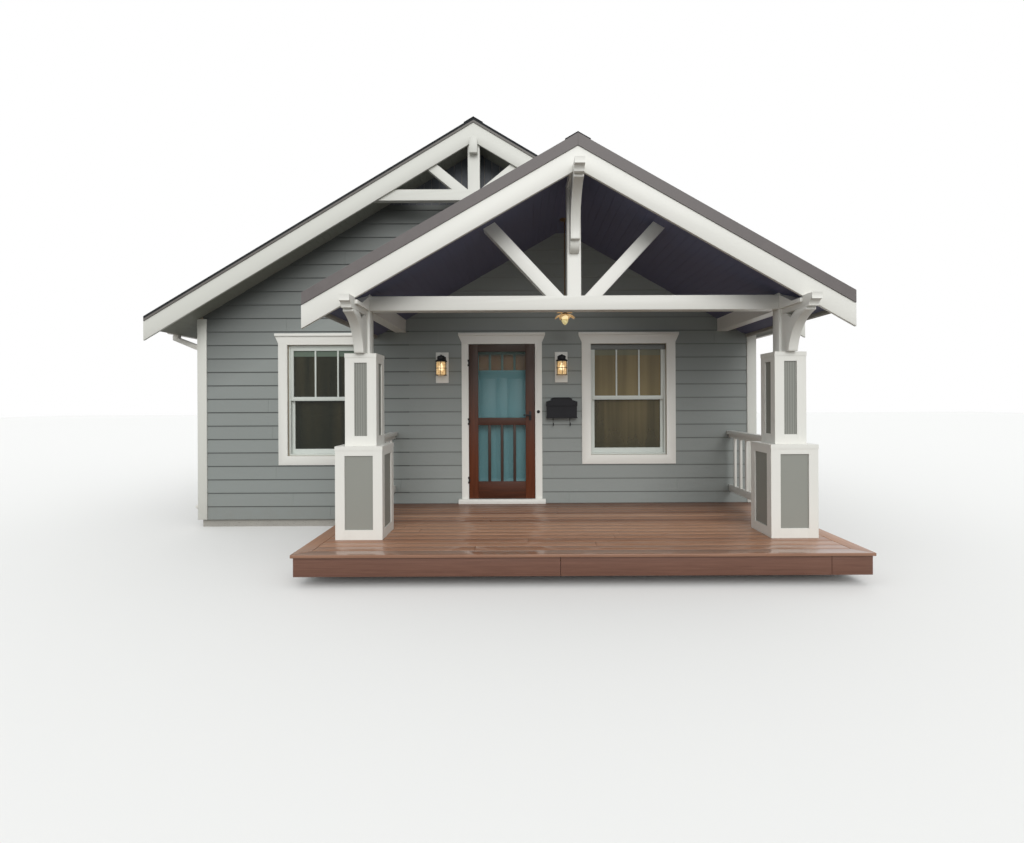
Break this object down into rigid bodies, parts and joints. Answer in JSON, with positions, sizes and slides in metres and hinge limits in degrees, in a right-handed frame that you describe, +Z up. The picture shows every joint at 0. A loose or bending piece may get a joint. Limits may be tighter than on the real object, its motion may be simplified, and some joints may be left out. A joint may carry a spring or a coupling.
{
  "type": "bungalow",
  "caption": "Hollow single-storey gabled bungalow with a front porch under its own gable, panelled piers, truss, railings, lap siding and a screen door over an entry door.",
  "frame": {"origin": "on the ground, in the middle of the building's outline seen from above", "axes": "+Z up, the porch and front door face -Y, +X to the right of someone who faces the front door"},
  "size_m": [8.302, 12.415, 5.239],
  "materials": {
    "siding": "satin painted lap boards",
    "trim": "white satin paint",
    "footing": "bare concrete",
    "floor_boards": "oiled boards",
    "soffit": "grey paint",
    "shingle": "asphalt shingle with mineral grit",
    "porch_shingle": "grey-brown asphalt shingle and drip edge",
    "ridge_cap": "black shingle caps",
    "gutter_metal": "white baked paint",
    "gable_dark": "dark paint",
    "deck_boards": "red-brown stain, wet sheen",
    "deck_framing": "rough sawn",
    "pier_sheet": "grey paint",
    "ceiling": "dark painted boards",
    "window_paint": "white",
    "window_glass": "clear",
    "door_stain": "red-brown stain under satin varnish",
    "screen_cloth": "fine dark screen",
    "teal_paint": "teal satin paint",
    "door_glass": "clear",
    "black_metal": "black satin",
    "jar_glass": "clear, lit from inside",
    "brass": "aged satin",
    "mailbox_metal": "black hammered enamel"
  },
  "bodies": {
    "house": {"foundation": "footing", "house_floor": "floor_boards", "front_wall_left": "siding", "front_wall_right": "siding", "front_wall_over_door": "siding", "front_gable": "siding", "left_wall": "siding", "right_wall": "siding", "rear_wall": "siding", "rear_gable": "siding", "corner_boards": "trim", "main_roof_left": "soffit", "main_roof_right": "soffit", "main_shingles_left": "shingle", "main_shingles_right": "shingle", "ridge_caps": "ridge_cap", "main_rake_boards": "trim", "eave_fascias": "trim", "gutters": "gutter_metal", "downspouts": "gutter_metal", "gable_truss": "trim", "gable_panel": "gable_dark", "porch_deck": "deck_boards", "deck_frame": "deck_framing", "deck_fascia": "deck_boards", "pier_panels": "pier_sheet", "pier_trim": "trim", "porch_posts": "trim", "porch_beams": "trim", "porch_truss": "trim", "knee_brackets": "trim", "porch_ridge_board": "ceiling", "porch_roof_left": "ceiling", "porch_roof_right": "ceiling", "porch_shingles_left": "porch_shingle", "porch_shingles_right": "porch_shingle", "porch_rake_boards": "trim", "porch_railings": "trim", "window_frames": "window_paint", "window_glass": "window_glass", "window_casings": "trim", "door_frame": "trim", "door_casing": "trim", "door_hinges": "black_metal", "lantern_blocks": "trim", "lanterns": "black_metal", "lantern_jars": "jar_glass", "porch_pendant": "brass", "mailbox": "mailbox_metal"},
    "screen_door": {"screen_door": "door_stain", "screen_mesh": "screen_cloth"},
    "entry_door": {"entry_door": "teal_paint", "entry_door_glass": "door_glass"}
  },
  "joints": [
    {"name": "screen_door_hinge", "type": "hinge", "parent": "house", "child": "screen_door", "pos_m": [-0.1075, -3.8405, 1], "axis": [0, 0, -1], "range_deg": [0, 90]},
    {"name": "entry_door_hinge", "type": "hinge", "parent": "house", "child": "entry_door", "pos_m": [-0.1075, -3.6195, 1], "axis": [0, 0, 1], "range_deg": [0, 90]}
  ]
}
